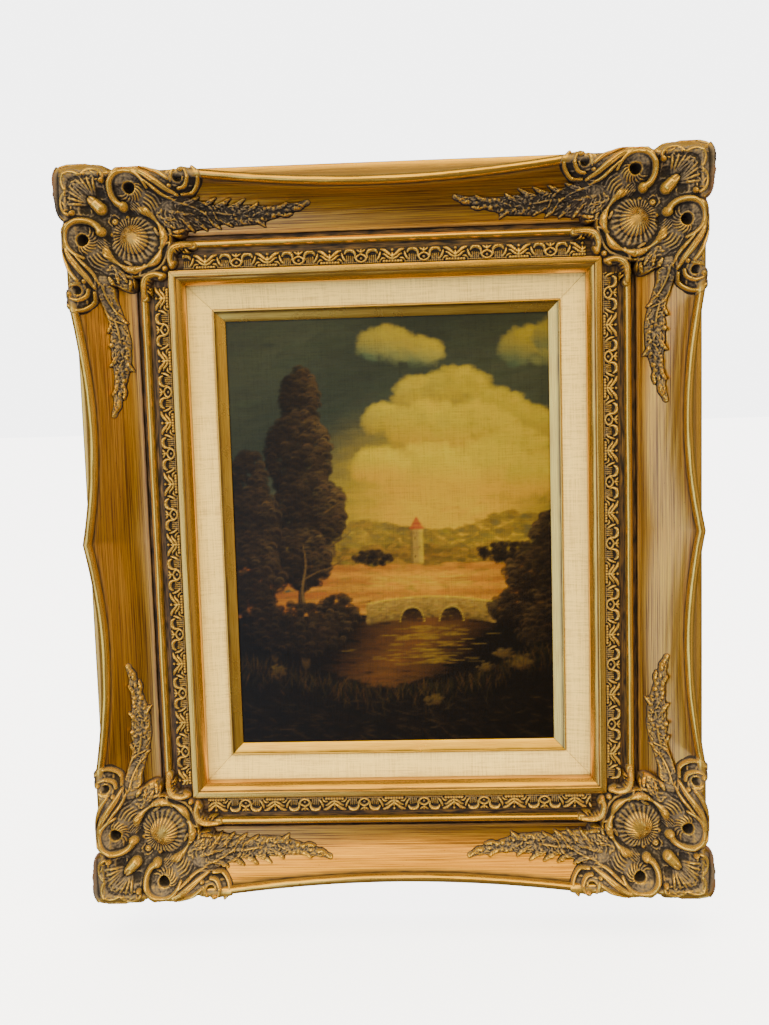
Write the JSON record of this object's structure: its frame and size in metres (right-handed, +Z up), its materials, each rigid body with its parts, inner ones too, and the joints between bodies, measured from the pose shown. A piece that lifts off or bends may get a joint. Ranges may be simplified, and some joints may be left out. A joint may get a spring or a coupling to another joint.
{
  "type": "framed oil painting",
  "caption": "Small landscape in oils on canvas, with a gold slip and linen liner, in a gilt swept frame with cast shell corners.",
  "frame": {"origin": "middle of the top rail's flat back, where it meets the wall", "axes": "+Y into the wall, out of the flat back; +Z up the picture; +X to the right as the picture is seen"},
  "size_m": [0.5686, 0.0694, 0.6702],
  "materials": {
    "gilt_wood": "gilt over wood, brushed along its length, with dark streaks",
    "patinated_gilt": "cast composition in antique gold, grey-brown patina in the hollows, red-brown wear on the edges",
    "linen": "wood covered with natural slub linen",
    "bright_gilt": "satin bright gold",
    "painted_canvas": "dark varnished oil paint over a canvas weave",
    "bare_pine": "bare planed pine"
  },
  "bodies": {
    "root": {"rail_top": "gilt_wood", "rail_bottom": "gilt_wood", "rail_left": "gilt_wood", "rail_right": "gilt_wood", "ornament_band_top": "patinated_gilt", "ornament_band_bottom": "patinated_gilt", "ornament_band_left": "patinated_gilt", "ornament_band_right": "patinated_gilt", "corner_ornament_top_left": "patinated_gilt", "corner_ornament_top_right": "patinated_gilt", "corner_ornament_bottom_left": "patinated_gilt", "corner_ornament_bottom_right": "patinated_gilt", "linen_liner_top": "linen", "linen_liner_bottom": "linen", "linen_liner_left": "linen", "linen_liner_right": "linen", "gold_slip_top": "bright_gilt", "gold_slip_bottom": "bright_gilt", "gold_slip_left": "bright_gilt", "gold_slip_right": "bright_gilt", "canvas": "painted_canvas", "stretcher_bar_top": "bare_pine", "stretcher_bar_bottom": "bare_pine", "stretcher_bar_left": "bare_pine", "stretcher_bar_right": "bare_pine"}
  },
  "joints": []
}
